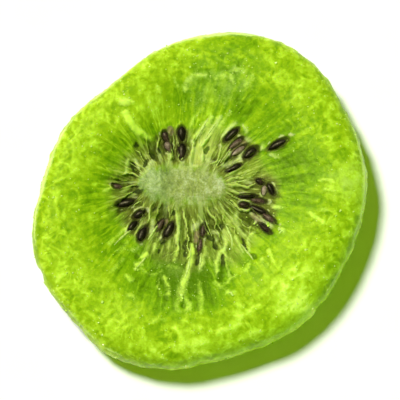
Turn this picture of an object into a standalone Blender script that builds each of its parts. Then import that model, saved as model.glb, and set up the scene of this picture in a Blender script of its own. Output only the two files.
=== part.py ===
"""One slice of candied kiwi, lying on a flat surface with its better face up.

The slice is a single soft disc, cut across the peeled fruit. Candying has left it a thick rounded rim, and
drying has drawn the seed zone inwards on both cut faces, round a pale oval core that stands a little proud.
Its edge is uneven, its rim is thicker on some sides than on others, and two opposite sides curl up, so that
it rests on two flattened stretches of its underside.

Everything is worked out in polar form round the middle of the core, and the finished slice is then moved so
that its box stands centred on the origin. Metres, +Z up, +Y towards the far side of the shown face.
"""

import math

import bmesh
import bpy

MM = 0.001

# Outline: the distance from the core's middle to the edge is this mean plus lobes. Each lobe entry is
# (how many lobes go round the edge, how far they reach, the direction of the first one in degrees).
MEAN_RADIUS = 21.2 * MM
OUTLINE_LOBES = (
    (1, 3.4 * MM, -40),
    (2, 1.5 * MM, 49),
    (3, 0.15 * MM, -54),
    (4, 0.24 * MM, -22),
    (6, 0.12 * MM, 20),
    (7, 0.25 * MM, -1),
)

# Rim: its thickness follows the same rule as the outline, and is even at the core. From here on, a place on a
# face is told by its share of the way from the core's middle, 0, to the edge, 1.
RIM_THICKNESS = 6.3 * MM
THICKNESS_LOBES = (
    (1, 0.35 * MM, -50),
    (2, 0.30 * MM, -48),
    (3, 0.20 * MM, 15),
    (5, 0.12 * MM, 60),
)
FULL_LOBES_SHARE = 0.6
RIM_CROWN_SHARE = 0.83
RIM_SQUARENESS = 2.4

# Seed zone, sunk between the rim and the core. Its brim lies further out on some sides than on others.
DISH_FLOOR_SHARE = 0.36
DISH_BRIM_SHARE = 0.75
BRIM_LOBES = (
    (1, 0.05, -10),
    (3, 0.02, 100),
    (5, 0.015, 20),
)
TOP_DISH_DEPTH = 1.6 * MM
UNDERSIDE_DISH_DEPTH = 0.9 * MM

# Core: an oval that stands up from the floor of the seed zone.
CORE_LENGTH = 12.0 * MM
CORE_WIDTH = 6.0 * MM
CORE_TURN = -5
CORE_RISE = 0.55 * MM
UNDERSIDE_CORE_RISE = 0.30 * MM
CORE_SOFTNESS = 0.5

# Curl: two opposite sides lift, and the slice's weight presses the lowest stretches flat.
CURL_RISE = 0.9 * MM
CURL_DIRECTION = 15
PRESSED_FLAT = 0.25 * MM

# The share of the way from a face's middle to the widest edge that is still face, and not rounded rim.
FACE_SHARE_OF_WAY = 0.80
CELLS_ACROSS_A_CUBE_FACE = 24

FLESH_COLOUR = (0.36, 0.62, 0.03, 1.0)
FLESH_ROUGHNESS = 0.5


def clear_scene():
    for obj in list(bpy.data.objects):
        bpy.data.objects.remove(obj, do_unlink=True)


def smooth_step(low, high, value):
    """0 below low, 1 above high, and an S-shaped way between them."""
    share = min(1.0, max(0.0, (value - low) / (high - low)))
    return share * share * (3 - 2 * share)


def lobes_at(angle, lobes):
    return sum(reach * math.cos(count * (angle - math.radians(first))) for count, reach, first in lobes)


def edge_distance(angle):
    return MEAN_RADIUS + lobes_at(angle, OUTLINE_LOBES)


def thickness(angle, edge_share):
    """The slice's thickness before its faces are dished."""
    return RIM_THICKNESS + lobes_at(angle, THICKNESS_LOBES) * smooth_step(0, FULL_LOBES_SHARE, edge_share)


def sinking(angle, edge_share):
    """1 on the floor of the dished seed zone, 0 on the rim."""
    brim_share = DISH_BRIM_SHARE + lobes_at(angle, BRIM_LOBES)
    return 1 - smooth_step(DISH_FLOOR_SHARE, brim_share, edge_share)


def curl(angle, edge_share):
    """How far the slice's middle plane has lifted here."""
    wave = (1 + math.cos(2 * (angle - math.radians(CURL_DIRECTION)))) / 2
    return CURL_RISE * wave * edge_share**2


def section(way):
    """The slice's half section. way runs from 0, the middle of a face, to 1, the widest edge.

    Returns the share of the distance to the edge, and the share of the half thickness."""
    if way < FACE_SHARE_OF_WAY:
        return RIM_CROWN_SHARE * way / FACE_SHARE_OF_WAY, 1.0
    turn = math.pi / 2 * (way - FACE_SHARE_OF_WAY) / (1 - FACE_SHARE_OF_WAY)
    power = 2 / RIM_SQUARENESS
    outwards = math.sin(turn) ** power
    upwards = max(0.0, math.cos(turn)) ** power
    return RIM_CROWN_SHARE + (1 - RIM_CROWN_SHARE) * outwards, upwards


def core_share(x, y):
    """1 on the core, 0 away from it, and a soft way between them."""
    turn = math.radians(CORE_TURN)
    along = (x * math.cos(turn) + y * math.sin(turn)) / (CORE_LENGTH / 2)
    across = (y * math.cos(turn) - x * math.sin(turn)) / (CORE_WIDTH / 2)
    return 1 - smooth_step(1 - CORE_SOFTNESS, 1 + CORE_SOFTNESS, math.hypot(along, across))


def slice_point(direction):
    """Where the point of a unit sphere in this direction lies on the slice."""
    angle = math.atan2(direction.y, direction.x)
    from_top = math.acos(max(-1.0, min(1.0, direction.z))) / (math.pi / 2)
    on_top = from_top <= 1
    edge_share, thickness_share = section(from_top if on_top else 2 - from_top)
    distance = edge_share * edge_distance(angle)
    x, y = distance * math.cos(angle), distance * math.sin(angle)

    half_thickness = thickness(angle, edge_share) / 2
    middle = half_thickness + curl(angle, edge_share) - PRESSED_FLAT
    sunk = sinking(angle, edge_share)
    core = core_share(x, y)
    if on_top:
        z = middle + half_thickness * thickness_share - sunk * TOP_DISH_DEPTH + core * CORE_RISE
    else:
        z = middle - half_thickness * thickness_share + sunk * UNDERSIDE_DISH_DEPTH - core * UNDERSIDE_CORE_RISE
    return x, y, max(0.0, z)


def flesh_material():
    material = bpy.data.materials.new("candied_flesh")
    material.use_nodes = True
    shader = material.node_tree.nodes["Principled BSDF"]
    shader.inputs["Base Color"].default_value = FLESH_COLOUR
    shader.inputs["Roughness"].default_value = FLESH_ROUGHNESS
    shader.inputs["Metallic"].default_value = 0.0
    material.diffuse_color = FLESH_COLOUR
    return material


def make_slice(collection):
    """Shapes a subdivided cube, rounded to a sphere, into the slice."""
    shape = bmesh.new()
    bmesh.ops.create_cube(shape, size=2)
    bmesh.ops.subdivide_edges(
        shape, edges=shape.edges[:], cuts=CELLS_ACROSS_A_CUBE_FACE - 1, use_grid_fill=True
    )
    for vertex in shape.verts:
        vertex.co = slice_point(vertex.co.normalized())
    for axis in range(2):
        places = [vertex.co[axis] for vertex in shape.verts]
        off_centre = (min(places) + max(places)) / 2
        for vertex in shape.verts:
            vertex.co[axis] -= off_centre
    bmesh.ops.recalc_face_normals(shape, faces=shape.faces[:])

    mesh = bpy.data.meshes.new("kiwi_slice")
    shape.to_mesh(mesh)
    shape.free()
    mesh.shade_smooth()
    mesh.materials.append(flesh_material())
    kiwi_slice = bpy.data.objects.new("kiwi_slice", mesh)
    collection.objects.link(kiwi_slice)
    return kiwi_slice


def main():
    clear_scene()
    collection = bpy.data.collections.new("candied_kiwi_slice")
    bpy.context.scene.collection.children.link(collection)
    make_slice(collection)


main()
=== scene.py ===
"""Looks of one slice of candied kiwi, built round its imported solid.

The flesh is the solid's own surface, made finer. Its relief holds the pockets and walls of the seed zone,
the grain of the sugared flesh and the wrinkles of its edge. Seeds, dried fibres and sugar grains lie in and
on it.

Lengths are in millimetres until a mesh is made. A place on a face is told in plan, from the middle of the
slice's box: x to the right and y to the far side of the shown face.
"""

import itertools
import math
from types import SimpleNamespace

import bmesh
import bpy
import numpy as np
from mathutils import Matrix, Vector
from mathutils.bvhtree import BVHTree


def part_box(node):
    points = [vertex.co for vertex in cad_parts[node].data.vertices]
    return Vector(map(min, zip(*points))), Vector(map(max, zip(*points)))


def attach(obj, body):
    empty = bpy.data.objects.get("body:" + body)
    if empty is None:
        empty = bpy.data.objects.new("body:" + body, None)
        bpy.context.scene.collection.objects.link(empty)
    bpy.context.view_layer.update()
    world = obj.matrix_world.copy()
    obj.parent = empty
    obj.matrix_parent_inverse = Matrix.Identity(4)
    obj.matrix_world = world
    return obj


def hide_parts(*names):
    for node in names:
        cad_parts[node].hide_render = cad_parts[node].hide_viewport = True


MM = 0.001
NODE = "kiwi_slice"
BODY = "root"

# Flesh mesh. Two triangles are joined into a four-sided face where they bend no more than MOST_FACE_BEND and
# make a shape that is no further than MOST_CORNER_BEND off a rectangle.
WELD_DISTANCE = 1e-6
MOST_FACE_BEND = math.radians(40)
MOST_CORNER_BEND = math.radians(60)
FLESH_LEVELS = 3
MOST_TRIANGLES = 196_000

# Noise: how many different draws its grid has, and what brings its heights to about -1 and 1
NOISE_DRAWS = 256
NOISE_STRETCH = 1.6
# Further than any distance that is compared with it
FAR = 9.0

# Sides of the slice: the upward shares of the normal between which a point comes to belong to a face, the
# shares of the way to the edge between which it comes to belong to the rim, the number of directions that
# the edge is measured in, and how deep the underside's pockets are as a share of the shown face's.
FACE_TILT = (0.1, 0.6)
RIM_SHARES = (0.55, 0.85)
EDGE_SLOTS = 360
UNDERSIDE_SHARE = 0.7

# Core, an oval. Round it, a place is told by how far out it lies, 0 on the line between the oval's foci, and
# by its way round. Lines of one way leave the oval's edge squarely and fan out, as the fruit's rays do.
CORE_MIDDLE = np.array([-2.2, 1.8])
CORE_TURN = math.radians(-5)
CORE_FOCUS = 5.1
CORE_OUT = 0.44

# Pockets of the seed zone, and the walls between them
POCKETS = 34
POCKET_START = 0.60
POCKET_END = 1.36
POCKET_END_SWING = 0.20
POCKET_END_WAY = math.radians(-48)
WALL_WIDTH = 0.42

# Relief: how far the flesh stands out, or in where it is under 0, for each field that shapes it
RISES = {
    "swell": 1.0, "wave": 0.14, "grain": 0.10, "fine": 0.02, "flutes": 0.18, "fuzz": 0.05, "lip_and_rim_light": 0.10,
    "pocket": -0.5, "wall": 0.16, "pit": -0.1, "collar": 0.1, "deep": -0.07, "strand": 0.12, "mottle": 0.3,
}
# Fields that shape the relief and that no material reads
RELIEF_ONLY = ("zone", "pit", "collar", "mottle", "fine", "flutes", "fuzz")

# Swells and hollows of the shown face: place, radius and height
SWELLS = (
    (-7.5, 15.5, 3.6, 0.3), (10.5, -9.5, 4.6, 0.45), (-8, -14.5, 4, 0.22), (1, -16.5, 3.5, 0.2),
    (15.5, 6, 3.5, 0.18), (2.5, 15.5, 3, 0.15), (-11.2, 6, 2.2, -0.35), (-15.5, -3, 3, 0.2),
    (6, -13.5, 2.2, -0.12),
)

# Tone of the flesh, from 0, deep green, to 1, pale: the seed zone's brim, the rim, and brighter or deeper
# spots of the shown face, told as their place, radius and change of tone. The spots are partly the flesh's
# own tone and partly painted light and shade: the bright spots at the lower right and by the right edge are
# a painted glow of light passing through the flesh, and the deeper spots at the top and on the right are
# painted shade.
INNER_TONE = 0.36
RIM_TONE = 0.52
# The side's tone is partly its own and partly a painted glow of light passing through the flesh.
SIDE_TONE_AND_GLOW = 0.15
TONE_AND_PAINTED_LIGHT_SPOTS = (
    (-7.2, 16.8, 1.6, 0.1), (-8.4, 14, 1.5, -0.12), (-5.5, 11.6, 2, 0.3), (10.8, -12, 3.4, 0.17),
    (13, -14.8, 2.8, 0.23), (0, -21, 5, 0.02), (1.5, -18, 4, 0.12), (-9, -15.5, 3, 0.05),
    (-11, 5.5, 3.2, 0.02), (-18, 0, 6, -0.06), (-2.5, -10.2, 5.2, -0.52), (3.5, 18, 5.5, -0.24),
    (-1, 20.5, 3, 0.1), (13.5, 3, 4.5, -0.25), (12, 11, 4.5, -0.12), (19.6, 2, 3, 0.19),
    (-12.5, -2.5, 4, 0.06), (1.5, 13, 2.6, 0.14),
)
# Mottles of the shown face, pale where the change of tone is up and dark where it is down
MOTTLES = (
    (-17.8, 4.3, 0.5, 0.16), (-18.3, 3.5, 0.5, 0.12), (-18.2, 1.3, 0.8, -0.2),
    (-18.3, -0.6, 0.55, 0.1), (-16.2, -1.1, 0.55, 0.22), (-17.1, -2.6, 0.5, 0.16),
    (-19.4, -3.4, 0.6, 0.26), (-16.2, -3.6, 0.5, 0.2), (-13.9, -2.5, 0.4, 0.22),
    (-13.4, -1.4, 0.45, 0.22), (-13.2, 0.3, 0.45, 0.26), (-14.1, 3.3, 0.5, 0.16),
    (-12.1, 5.4, 0.45, 0.2), (-13.2, 1.6, 0.4, 0.18), (-14, 0.9, 0.7, -0.18), (-11, 6, 0.9, -0.14),
    (-11.8, 2.7, 0.5, -0.16), (-14.9, -1.5, 0.5, -0.14), (-11.5, -1.6, 0.8, -0.18),
    (-11.3, -4.5, 0.6, -0.18), (-15.5, -5.3, 0.5, -0.18), (-3.1, -17.1, 0.5, 0.26),
    (-7.8, -17.2, 0.8, 0.24), (-7.8, -15.8, 0.5, 0.18), (0, -15.2, 0.6, 0.24), (-0.4, -20, 0.5, 0.1),
    (3.7, -18.6, 0.6, 0.2), (4.9, -13.8, 0.6, 0.24), (4.9, -15.2, 0.65, 0.28), (4.5, -16.3, 0.5, 0.22),
    (6.6, -15.3, 0.65, 0.3), (6.8, -12.3, 0.5, 0.26), (6, -9.2, 0.55, 0.24), (7, -9.9, 0.5, 0.2),
    (-4.7, -18.3, 0.45, -0.22), (-3.1, -18.2, 0.4, -0.2), (3.3, -17.7, 0.4, -0.22),
    (1, -16.9, 0.55, -0.18), (-5, -17, 0.5, -0.14), (-3.3, -20.7, 0.5, -0.16),
    (6.2, -16.2, 0.5, -0.18), (2, -13.8, 1, -0.18), (2.7, 15.6, 0.5, 0.24), (8.2, 14.5, 0.9, 0.24),
    (0.9, 14.1, 0.45, 0.2), (9.6, 15.2, 0.5, 0.18), (0, 20.9, 0.45, 0.3), (1.5, 20.9, 0.45, 0.3),
    (8.8, 20.2, 0.6, 0.45), (5.3, 12.5, 0.6, -0.16), (8.2, 11.8, 0.6, -0.14), (-3.8, 12.8, 0.5, -0.14),
    (2.8, 13.6, 0.5, -0.14), (0, 13.3, 0.5, -0.12), (18.4, 3.4, 0.6, 0.22), (18, 1.6, 0.6, 0.2),
    (17.8, -1.8, 0.5, 0.2), (19.7, 5.3, 0.45, 0.22), (-7.5, 8.4, 0.5, 0.35), (-8.8, 9.6, 0.6, 0.35),
    (-9.6, 12.2, 0.45, 0.4), (13.7, 1.8, 0.55, 0.24), (13.3, 3.2, 0.5, 0.2), (11.9, 2.7, 0.55, 0.2),
    (10.6, 0.3, 0.5, 0.18), (12.8, -4.4, 0.5, 0.24), (9.3, -11.4, 0.6, 0.22), (10.7, -11.5, 0.6, 0.26),
    (12.2, -10.3, 0.8, 0.26), (10.2, -9.8, 0.5, -0.28), (7.6, -10.4, 0.5, -0.18),
    (11.2, -14.3, 0.5, -0.16), (16.2, 3.8, 0.4, -0.24), (12, -0.7, 0.5, -0.2),
    (12.3, -5.3, 0.5, -0.18), (13.8, -1.6, 0.4, -0.16),
)
MOTTLE_STRENGTH = 0.65
# Strokes of the flesh, and where on the rim they follow its edge: place, radius and how much
STROKE_LENGTH = 1.5
STROKE_WIDTH = 0.58
STROKE_BEND = 0.3
STROKE_WAYS = 3
RIM_STROKES = ((11, -11.5, 5, 1), (3, -18, 3.5, 0.6), (1, 16, 4, 0.8), (8, 17, 3, 0.5))
RIM_STROKE_GRID = (9.0, 26.0)
RIM_STROKE_WEIGHT = 6
# Tone of the core, its brighter and deeper spots, and where its cool left end passes into warmer flesh
CORE_TONE = 0.42
CORE_COOL_END = -5.5
CORE_WARM_START = -2.5
CORE_SPOTS = (
    (-6.4, 2.5, 1.3, 0.24), (-4.3, 2, 0.9, -0.2), (-2.6, 3.4, 1.4, 0.1), (-2.8, 0.7, 1.1, 0.12),
    (2.6, 2.4, 1.1, 0.36), (0.4, 0.2, 1.1, 0.14), (4.3, 1.8, 1.2, -0.25), (-4.4, 3.7, 0.5, -0.45),
)
# Clearings of the seed zone, pale yellow-green between the seeds: place, radius and strength
CLEARINGS = (
    (0.5, 6.6, 1.6, 1), (1.5, 9, 1.5, 0.7), (-0.6, 4.9, 1.2, 0.6), (-5.8, -3, 1, 0.5),
    (3.6, -4.6, 1.2, 0.4), (9.9, 5.6, 0.9, 0.5), (1.6, -1.5, 1.5, 0.65), (3.8, -2.8, 1.1, 0.5),
    (-2.9, -0.9, 1, 0.6), (-9.8, 3.4, 1.5, 0.4),
)
# How much of the murk, crowds and pockets a clearing takes away
CLEARING_FADE = 0.8
# Frost of dried sugar, a pale haze over the flesh: place, radius and strength
FROST = ((1, 14, 2.8, 0.4), (4.8, 14.8, 2.1, 0.4), (-3.5, -8, 3, 0.25), (18.6, 2, 2.5, 0.6))

# Lip: the raised edge where a face turns down into the side, painted pale as a painted rim highlight. The
# tilt of the surface where it lies, told by the upward share of its normal, and the stretches where it is
# stronger or weaker.
LIP_TILT = 0.50
LIP_TILT_WIDTH = 0.09
LIP_TILT_DRIFT = 0.07
FAINT_LIP = 0.6
LIP_AND_RIM_LIGHT_STRETCHES = (
    (-20.5, 2, 6, 1), (-12, 15, 4, 0.4), (1, 21, 5.5, 1), (8.8, 20.3, 1.2, 0.5), (20.5, 2, 6, 0.6),
    (-12, -16, 4, 0.3), (0, -21, 7, -0.5), (12, -15, 5, -0.3),
)

# Seeds of the shown face: place, length, width, the way the long side points in degrees, and how much of
# the dried brown skin they keep, from 0, a bare black seed, to 1, all skin.
SEEDS = (
    (-2.3, 8.5, 2.07, 1.23, 95, 0), (-2.3, 6.3, 2.17, 1.23, 88, 0.25),
    (-4.4, 8.1, 1.62, 0.9, 110, 0.45), (-4, 6.8, 1.62, 0.98, 120, 0.8), (4, 8.3, 2.52, 0.94, 42, 0),
    (4.6, 7.2, 2.26, 0.82, 40, 0.75), (5, 6.3, 2.34, 0.73, 38, 0.9), (6.5, 6, 2.17, 1.23, 38, 0.1),
    (4.3, 4, 2.26, 0.73, 25, 0.1), (10, 6.9, 2.89, 1.1, 26, 0.1), (7.7, 2.1, 1.3, 0.85, 150, 0.3),
    (9.1, 1, 1.8, 0.9, -62, 0), (8.2, 1, 1.3, 0.75, 80, 1), (6.1, 0.3, 2.26, 0.73, 0, 0.05),
    (7.5, -0.4, 1.99, 0.82, -8, 0.6), (5.7, -0.9, 1.44, 0.82, -10, 0.4),
    (7.5, -1.6, 2.52, 0.94, -27, 0.15), (8.8, -2.7, 2.07, 0.82, -35, 0.7),
    (8.3, -4, 2.17, 0.73, -42, 0.35), (-9.5, -0.5, 2.5, 1.05, 190, 0),
    (-10.6, 1.6, 1.3, 0.77, 170, 0.5), (-7.8, -2, 1.85, 1, 215, 0.05), (-7.3, -4.5, 2.24, 1.2, 245, 0),
    (-8.5, -3.4, 1.81, 0.77, 230, 0.2), (-5.1, -3.4, 1.73, 0.89, 240, 0.5),
    (-3.9, -4.1, 2.34, 1.26, 244, 0.05), (0.4, -4.1, 1.8, 0.85, 262, 0.45),
    (0, -6.1, 2, 0.66, 262, 0.6),
)
SEED_THICKNESS = 0.95
SEED_SUNK_SHARE = 0.68
SEED_CROWD_REACH = 1.7
# What a seed leaves round it, told by the distance from its middle, with its outline at 1: between where its
# pit and its stain end, the middle and width of its collar and of its pale ring, which is partly pale flesh
# and partly a painted glint beside the seed, and between where a seed that is only painted ends.
SEED_PIT_EDGE = (0.60, 0.95)
SEED_STAIN_EDGE = (0.9, 1.7)
SEED_COLLAR_RING = (1.22, 0.20)
SEED_SLEEVE_AND_GLINT_RING = (1.45, 0.28)
PAINTED_SEED_EDGE = (0.45, 1.25)
# Seed mesh: the rows of faces along a seed, and the faces in a row
SEED_ROWS = 14
SEED_SIDES = 18
# Seeds of the underside
UNDERSIDE_SEEDS = 34
UNDERSIDE_SEED_LENGTHS = (1.9, 2.7)
UNDERSIDE_SEED_WIDTHS = (0.9, 1.5)

# Seeds that show only as dark marks, because they lie under the shown face: place, length, width and way.
DEEP_SEEDS = (
    (0.8, 6.4, 1.3, 0.8, 60), (-1.9, -5.9, 1.7, 0.7, 265), (-1.9, -7.1, 1.2, 0.6, 265),
    (1.4, -5.1, 1.3, 0.9, 320), (2, -6.2, 1.4, 0.8, 300), (2.85, -8.6, 2.7, 0.65, 272),
    (2.6, -10.3, 1.3, 0.7, 280), (5.6, -5.9, 2, 0.5, 290), (6.8, -7.7, 1.1, 0.9, 300),
    (2.7, -3.7, 1, 0.6, 280), (-0.35, -8, 2, 0.6, 258), (-4.9, -10.8, 1, 0.4, 270),
    (-2.1, -14.1, 0.8, 0.7, 0), (-4.7, -5.5, 1.3, 0.7, 245), (-5.2, -6.8, 0.9, 0.5, 260),
    (-8.1, -7.5, 0.9, 0.8, 230), (-8.2, -3.6, 1.5, 0.7, 240), (-8, 6.8, 1, 0.8, 130),
    (-8.5, 4.1, 1.2, 0.7, 100), (-7, 4.5, 1.3, 0.6, 50), (-6.1, 5.6, 1, 0.7, 125),
    (-5.2, 6.2, 1.1, 0.6, 110), (-3.4, -1.8, 1, 0.7, 250), (-5.7, -1.3, 1, 0.5, 225),
    (-7.9, 0.9, 1.6, 0.7, 190), (5.7, -0.9, 0.7, 0.5, 0), (8.4, -4.5, 1.8, 0.7, -42),
)

# Dried brown seed skins on the flesh, told as the seeds are.
HUSKS = (
    (-0.4, -4.9, 1.7, 0.9, 80), (4.8, 6.7, 2.7, 1.5, 50), (-3.8, 8.8, 1.2, 1.1, 90),
    (-4.2, 6.9, 1.5, 0.8, 0), (7.3, -2.6, 2.4, 0.8, -35), (-4.5, -3.1, 1, 0.8, 240),
)

# Pale strands in the shown face: their half width at the first and at the last point, how strong they are,
# how much cream there is in their green, and the points they pass.
STRANDS = (
    (0.34, 0.62, 1.2, 0.15, (-1, -6), (-1.3, -8.4), (-1.8, -10.2), (-2.35, -12.4)),
    (0.34, 0.4, 0.75, 0.1, (-2.4, -12.6), (-2.4, -13.3)),
    (0.42, 0.42, 0.5, 0, (-1.7, -13.4), (-2.4, -13.25), (-2.9, -14.1), (-2.5, -14.9)),
    (0.42, 0.5, 0.75, 0.1, (-1.5, -13.7), (-1.2, -14.1), (-1.5, -14.5)),
    (0.32, 0.45, 0.75, 0, (-4.5, -10.2), (-4.1, -11.2), (-4, -12.5)),
    (0.25, 0.25, 0.45, 0, (-5.2, -10.4), (-5.3, -11.7)),
    (0.45, 0.45, 0.5, 0, (0, -10.9), (0.1, -12.8), (0.2, -15)),
    (0.3, 0.45, 0.85, 0.35, (0.7, -6.4), (0.4, -8), (0.1, -9.2)),
    (0.4, 0.4, 0.65, 0, (-9, -3.5), (-10.1, -4.6), (-11.4, -5.8)),
    (0.4, 0.45, 0.5, 0, (-9.2, -5.6), (-10.4, -7)),
    (0.4, 0.4, 0.45, 0, (-9.8, -7.9), (-11.3, -9.8)),
    (0.4, 0.4, 0.6, 0.5, (-8, -6.5), (-8.6, -6.7)),
    (0.38, 0.38, 0.95, 0.1, (-6.8, -7.2), (-7.3, -7.6)),
    (0.38, 0.42, 0.95, 0.1, (-7.4, -8.4), (-8.1, -8.6)),
    (0.3, 0.38, 0.8, 0.5, (-5.7, -5.9), (-5.9, -6.9)),
    (0.35, 0.4, 0.9, 1, (-6, -2.9), (-6.3, -4.3)),
    (0.35, 0.35, 0.7, 0.2, (-2.8, -6.4), (-3.2, -7.9)),
    (0.4, 0.4, 0.45, 0, (-4, -8.8), (-2.7, -8.9)),
    (0.45, 0.4, 0.6, 0.5, (-2.8, -1.8), (-2.7, -3.4), (-2.8, -5.2)),
    (0.42, 0.42, 0.95, 1, (-0.3, -3.3), (-0.8, -3.9)),
    (0.42, 0.42, 0.75, 0, (-9.2, -10.2), (-8.7, -10.7)),
    (0.4, 0.4, 0.5, 0, (-9, -12.6), (-8.3, -13)),
    (0.28, 0.28, 0.4, 0, (-7.6, -8.9), (-6.2, -9.9), (-4.7, -9.2)),
    (0.3, 0.3, 0.7, 0.8, (1.7, -4.1), (2.4, -4.7), (2.1, -5.4)),
    (0.38, 0.42, 0.95, 0.5, (2.9, -4.9), (3.3, -5.8), (3, -6.9)),
    (0.35, 0.42, 0.85, 0.3, (2.8, -6.9), (2.1, -8.2), (2.3, -9.9)),
    (0.3, 0.3, 0.65, 0.2, (3.2, -6.9), (3.4, -8.4), (3.8, -10.2)),
    (0.34, 0.48, 0.7, 0, (1.9, -10.9), (2.8, -11.9)),
    (0.4, 0.3, 0.6, 0, (2.8, -11.9), (3.5, -10.9), (4.6, -10.1)),
    (0.45, 0.45, 0.85, 0, (3.5, -12.4), (4.3, -12.4)),
    (0.5, 0.35, 0.7, 0.7, (4.6, -2.1), (4.9, -3.8), (5.6, -4.8)),
    (0.35, 0.3, 0.75, 0.4, (4.5, -5), (5, -6), (5.5, -7.1)),
    (0.32, 0.32, 0.75, 0.4, (6.9, -4.5), (6.2, -5.3), (6.3, -6.9)),
    (0.42, 0.42, 1, 1, (8.5, -3.3), (9, -3.7)),
    (0.45, 0.45, 1, 0.2, (10.2, -4.1), (10.6, -4.4)),
    (0.42, 0.42, 0.7, 0, (6.3, -8.3), (5.9, -9.5)),
    (0.38, 0.38, 0.8, 0.1, (7.9, -8.1), (8, -8.8)),
    (0.42, 0.42, 0.8, 0, (8.8, -7), (9.3, -8.5)),
    (0.6, 0.6, 0.7, 0, (4.9, -13.9), (5.2, -14.1)),
    (0.6, 0.6, 0.7, 0, (4.8, -15.3), (5.2, -15.5)),
    (0.58, 0.58, 1.4, 0, (-9.5, 10.7), (-9.1, 9.8), (-8.4, 8.9), (-7.5, 8.4)),
    (0.54, 0.34, 1.3, 0, (-7.7, 8.5), (-6.4, 7.7)),
    (0.56, 0.56, 1.4, 0.2, (-9.9, 12.2), (-9.3, 12.2)),
    (0.32, 0.32, 0.85, 0.1, (-8.9, 12.2), (-8.6, 12.2)),
    (0.35, 0.35, 0.6, 0, (-5.5, 14.4), (-5.2, 13.7)),
    (0.5, 0.45, 0.8, 0.4, (-1.9, 14.2), (-1.6, 15), (-0.8, 15.7), (0.6, 15.9)),
    (0.35, 0.3, 0.5, 0.1, (-3.2, 15.4), (-2.9, 14.5)),
    (0.3, 0.3, 0.4, 0, (-2.1, 12.5), (-2.3, 11.2)),
    (0.35, 0.35, 0.85, 0.6, (-9.1, 5), (-9.4, 3.4)),
    (0.3, 0.3, 0.9, 0.9, (-8.3, 5), (-7.8, 4.1)),
    (0.45, 0.4, 0.8, 0.9, (0.2, 5.5), (1.7, 4.9)),
    (0.38, 0.38, 0.8, 1, (-6.2, 4.9), (-6.5, 3.8)),
    (0.38, 0.38, 0.75, 0.9, (-7.5, 3.4), (-7, 3.3)),
    (0.38, 0.38, 0.85, 0.9, (-1, 7.5), (-0.8, 6.2)),
    (0.46, 0.38, 1, 0.6, (0.1, 7.1), (0.9, 8.1), (1.8, 9.4), (2.6, 10.5)),
    (0.42, 0.38, 1, 0.3, (-0.6, 8.1), (0.4, 9.3), (1.5, 10.5)),
    (0.32, 0.32, 0.6, 0.1, (-1.1, 9.4), (-0.7, 10.6), (0.3, 11.6)),
    (0.32, 0.32, 0.9, 0.8, (3, 8.2), (3.6, 9.1), (4.6, 9.8)),
    (0.38, 0.38, 0.7, 0.8, (5.8, 9.2), (6, 8.7)),
    (0.38, 0.38, 0.7, 0.9, (5.9, 7.8), (6.4, 7.4)),
    (0.35, 0.35, 0.6, 0.6, (7.9, 6.9), (8, 6.4)),
    (0.38, 0.38, 0.85, 1, (3, 4.4), (4.5, 4.9), (5.5, 6)),
    (0.42, 0.42, 0.9, 0.8, (9, 5.6), (9.6, 5.4)),
    (0.32, 0.32, 0.65, 1, (5.8, 2.2), (6.5, 2.1)),
    (0.32, 0.32, 0.65, 0.6, (9.5, 1.8), (9.7, 0.8)),
    (0.42, 0.42, 0.85, 0.4, (9.4, -1.2), (10.1, -1.5)),
    (0.26, 0.26, 0.7, 1, (4.9, -0.7), (5.6, -0.35), (6.4, -0.7), (6.6, -1.2)),
    (0.3, 0.3, 0.7, 1, (6.5, -2), (7.4, -2.6), (8.3, -3)),
    (0.4, 0.4, 0.6, 0.8, (-2.6, 4.1), (-1.8, 3.9)),
    (0.32, 0.3, 0.65, 0.3, (2.4, 9.4), (3.9, 11.3)),
    (0.4, 0.4, 0.8, 0.3, (4, 15.8), (4.3, 14.9)),
    (0.4, 0.4, 0.75, 0.2, (6.8, 15.6), (5.9, 14.5)),
    (0.5, 0.5, 0.75, 0.3, (4.5, 16.6), (5.6, 16.4)),
    (0.45, 0.45, 0.7, 0.3, (2.2, 15.5), (3.2, 15.7)),
    (0.6, 0.6, 0.35, 0.6, (-0.5, 12.4), (0.3, 12.9)),
    (0.6, 0.6, 0.35, 0.6, (3.2, 12.2), (3.9, 13.4)),
    (0.3, 0.3, 0.8, 0.1, (15.3, 1.9), (16.2, 2.1), (17, 1.6)),
    (0.3, 0.3, 0.7, 0.1, (15.9, 0.8), (17, 0.6)),
    (0.4, 0.4, 0.95, 0, (13.9, -2.3), (14.8, -2.9), (15.6, -3.4)),
    (0.32, 0.32, 0.7, 0.1, (15.5, -1.8), (16.2, -2)),
    (0.32, 0.32, 0.6, 0.1, (-12.2, 0.9), (-11.3, 1.4)),
    (0.38, 0.38, 0.6, 0, (-6.2, -16.4), (-5.6, -15.9), (-4.4, -16)),
    (0.38, 0.48, 0.65, 0, (-2.4, -18), (-1.2, -19.3), (-0.4, -20)),
    (0.38, 0.38, 0.7, 0, (2.2, -17.6), (3, -17.1), (4.4, -16.9)),
    (0.4, 0.4, 0.8, 0.9, (-1.1, 4.4), (-0.4, 4.2)),
)
STRAND_REACH = 1.2
STRAND_RAGGEDNESS = 0.11

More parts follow.
